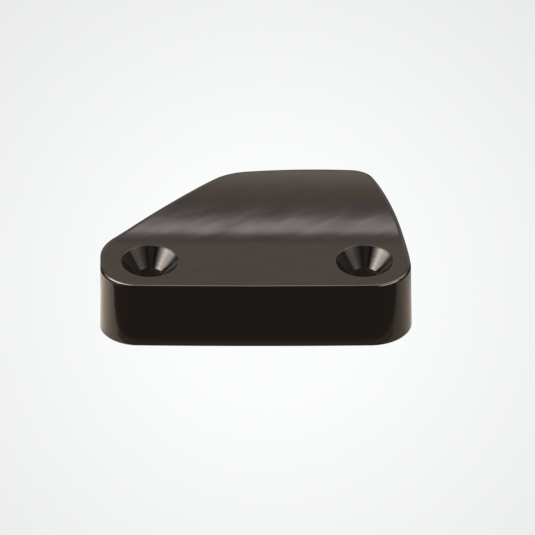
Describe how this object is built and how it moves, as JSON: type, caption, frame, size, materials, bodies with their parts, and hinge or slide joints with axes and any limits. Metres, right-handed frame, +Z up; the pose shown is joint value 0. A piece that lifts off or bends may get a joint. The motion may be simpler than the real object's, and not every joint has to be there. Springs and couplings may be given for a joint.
{
  "type": "side-entry jam cleat",
  "caption": "Low block cleat with a countersunk flange along one side and a ribbed V groove along the other, which jams a rope pulled in from the side.",
  "frame": {"origin": "midway between the two screw holes, on the base plane that sits on the deck", "axes": "+Z up off the deck along the screws, +X along the line of the screw holes, +Y towards the open side of the rope groove"},
  "size_m": [0.0759, 0.0527, 0.0184],
  "materials": {
    "anodised_alloy": "polished and hard-anodised gloss black, with a faint warm tint"
  },
  "bodies": {
    "root": {"cleat_body": "anodised_alloy"}
  },
  "joints": []
}
